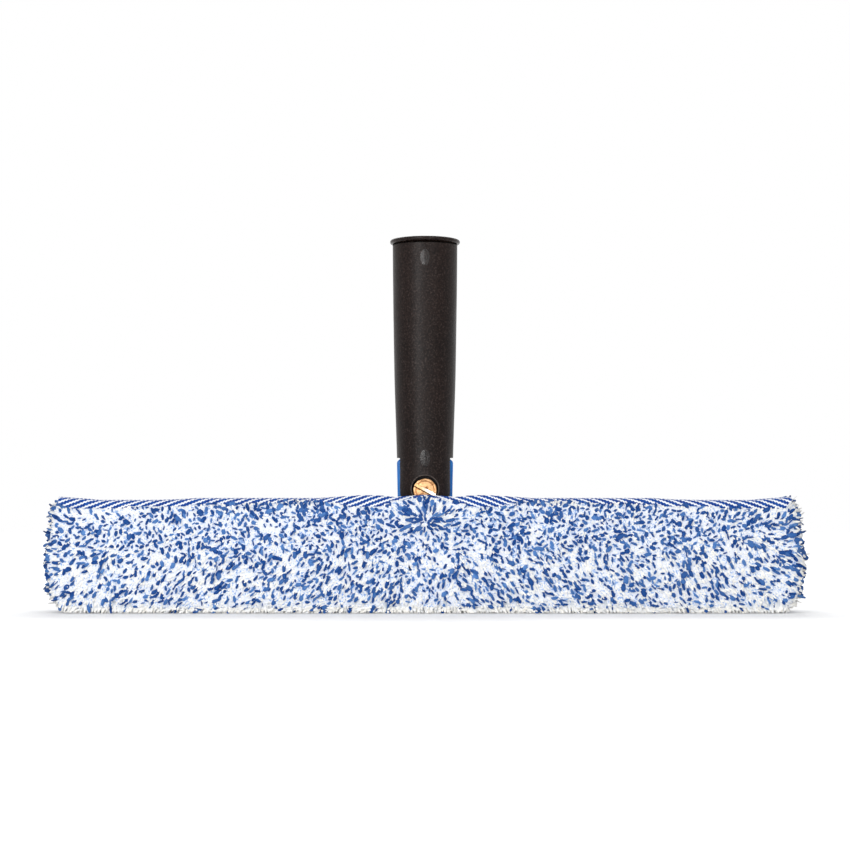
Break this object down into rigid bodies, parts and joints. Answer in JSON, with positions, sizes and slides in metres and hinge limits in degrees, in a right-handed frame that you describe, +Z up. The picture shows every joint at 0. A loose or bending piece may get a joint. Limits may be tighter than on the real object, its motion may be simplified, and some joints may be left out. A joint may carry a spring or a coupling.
{
  "type": "window washer",
  "caption": "Window washer: a microfibre sleeve on a T-bar, under a tapered handle that swings on a screw and takes an extension pole.",
  "frame": {"origin": "bottom centre of the sleeve, on the surface that the washer stands on", "axes": "+Z up along the handle, +X along the bar to the right as seen from the screw head's side, -Y towards that side"},
  "size_m": [0.362, 0.042, 0.1794],
  "materials": {
    "blue_plastic": "satin",
    "black_plastic": "satin",
    "brass": "satin",
    "steel": "satin",
    "nylon": "satin",
    "pile": "matte",
    "backing": "matte",
    "woven_band": "matte",
    "hook_tape": "matte",
    "loop_tape": "matte",
    "thread": "matte"
  },
  "bodies": {
    "bar": {"t_bar": "blue_plastic", "end_cap_left": "blue_plastic", "end_cap_right": "blue_plastic", "pivot_bush": "brass", "friction_washer_front": "nylon", "friction_washer_rear": "nylon", "sleeve_pile": "pile", "sleeve_backing": "backing", "selvage_band_front": "woven_band", "selvage_band_rear": "woven_band", "hook_tape": "hook_tape", "loop_tape": "loop_tape", "top_seam_thread_left": "thread", "top_seam_thread_right": "thread", "bar_tack_left": "thread", "bar_tack_right": "thread", "hem_thread_front": "thread", "hem_thread_rear": "thread"},
    "handle": {"handle": "black_plastic", "head_washer": "steel", "lock_washer": "steel", "hex_nut": "steel"},
    "screw": {"pivot_screw": "brass"}
  },
  "joints": [
    {"name": "swivel", "type": "hinge", "parent": "bar", "child": "handle", "pos_m": [0, 0, 0.0585], "axis": [0, 1, 0], "range_deg": [-75, 75]},
    {"name": "screw_turn", "type": "hinge", "parent": "handle", "child": "screw", "pos_m": [0, 0, 0.0585], "axis": [0, -1, 0], "range_deg": [0, 270]}
  ]
}
